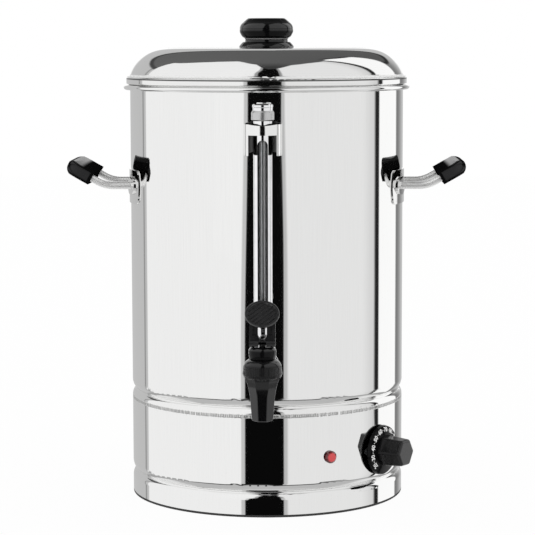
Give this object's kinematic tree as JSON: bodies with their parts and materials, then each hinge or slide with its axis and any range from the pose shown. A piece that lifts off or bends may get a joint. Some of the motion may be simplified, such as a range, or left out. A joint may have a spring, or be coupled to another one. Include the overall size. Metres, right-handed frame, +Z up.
{
  "type": "hot water urn",
  "caption": "Cylindrical polished steel hot water urn with loose domed lid, side grips, front sight gauge, lever tap, thermostat dial and pilot lamp",
  "frame": {"origin": "centre of the rubber edge ring that the urn stands on, on the counter", "axes": "+Z up, -Y the front with the tap and gauge, +X the side with the thermostat dial"},
  "size_m": [0.334, 0.3116, 0.4016],
  "materials": {
    "polished_steel": "mirror polished stainless sheet",
    "satin_steel": "satin steel",
    "zinc_steel": "zinc plated steel",
    "chrome_plate": "bright chrome on brass",
    "black_gloss": "glossy black moulding",
    "black_matte": "fine grained black moulding",
    "gauge_glass": "clear borosilicate tube",
    "silicone": "translucent food grade silicone",
    "rubber_black": "black rubber",
    "brass": "plain machined brass",
    "aluminium": "cast aluminium",
    "element_sheath": "heat darkened sheath",
    "red_lens": "clear red moulding",
    "ceramic": "unglazed steatite"
  },
  "bodies": {
    "body": {"body_shell": "polished_steel", "tank_bottom": "polished_steel", "gauge_glass": "gauge_glass", "gauge_guard": "chrome_plate", "gauge_seals": "silicone", "gauge_collar": "chrome_plate", "gauge_nut": "satin_steel", "gauge_cap": "chrome_plate", "gauge_bracket": "polished_steel", "tap_shank": "chrome_plate", "tap_washers": "silicone", "tap_lock_nut": "brass", "tap_body": "black_gloss", "tap_bonnet": "black_gloss", "right_handle_plate": "polished_steel", "left_handle_plate": "polished_steel", "right_handle_rod": "polished_steel", "left_handle_rod": "polished_steel", "right_handle_grip": "black_matte", "left_handle_grip": "black_matte", "thermostat_body": "ceramic", "thermostat_screws": "zinc_steel", "thermostat_bulb": "satin_steel", "pilot_lens": "red_lens", "pilot_body": "black_matte", "pilot_clip": "zinc_steel", "heater_plate": "aluminium", "heating_element": "element_sheath", "heater_studs": "satin_steel", "heater_nuts": "zinc_steel", "thermal_cutout": "zinc_steel", "base_plate": "zinc_steel", "base_tabs": "satin_steel", "base_screws": "zinc_steel", "base_edge_trim": "rubber_black", "terminal_block": "ceramic", "cable_gland": "black_matte", "cable_gland_nut": "black_matte", "tap_spring": "satin_steel"},
    "lid": {"lid_shell": "polished_steel", "lid_ring": "polished_steel", "lid_knob": "black_gloss", "lid_knob_screw": "zinc_steel", "lid_knob_washer": "zinc_steel"},
    "thermostat_dial": {"thermostat_knob": "black_gloss", "thermostat_shaft": "satin_steel"},
    "tap_valve": {"tap_stem": "black_gloss", "tap_seat_cup": "silicone"},
    "tap_handle": {"tap_lever": "black_gloss", "tap_lever_pin": "satin_steel"}
  },
  "joints": [
    {"name": "lid_lift", "type": "slide", "parent": "body", "child": "lid", "axis": [0, 0, 1], "range_m": [0, 0.08]},
    {"name": "thermostat_turn", "type": "hinge", "parent": "body", "child": "thermostat_dial", "pos_m": [0.0942, -0.06596, 0.0465], "axis": [-0.8192, 0.5736, 0], "range_deg": [0, 270]},
    {"name": "tap_stem_lift", "type": "slide", "parent": "body", "child": "tap_valve", "axis": [0, 0, 1], "range_m": [0, 0.00444], "stiffness_N_per_m": 600, "springref_m": -0.004, "deforming": ["tap_spring"]},
    {"name": "tap_lever_turn", "type": "hinge", "parent": "tap_valve", "child": "tap_handle", "pos_m": [0, -0.163, 0.1503], "axis": [1, 0, 0], "range_deg": [0, 45]}
  ],
  "couplings": [
    {"joint": "tap_lever_turn", "follows": "tap_stem_lift", "rad_per_m": 176.68}
  ]
}
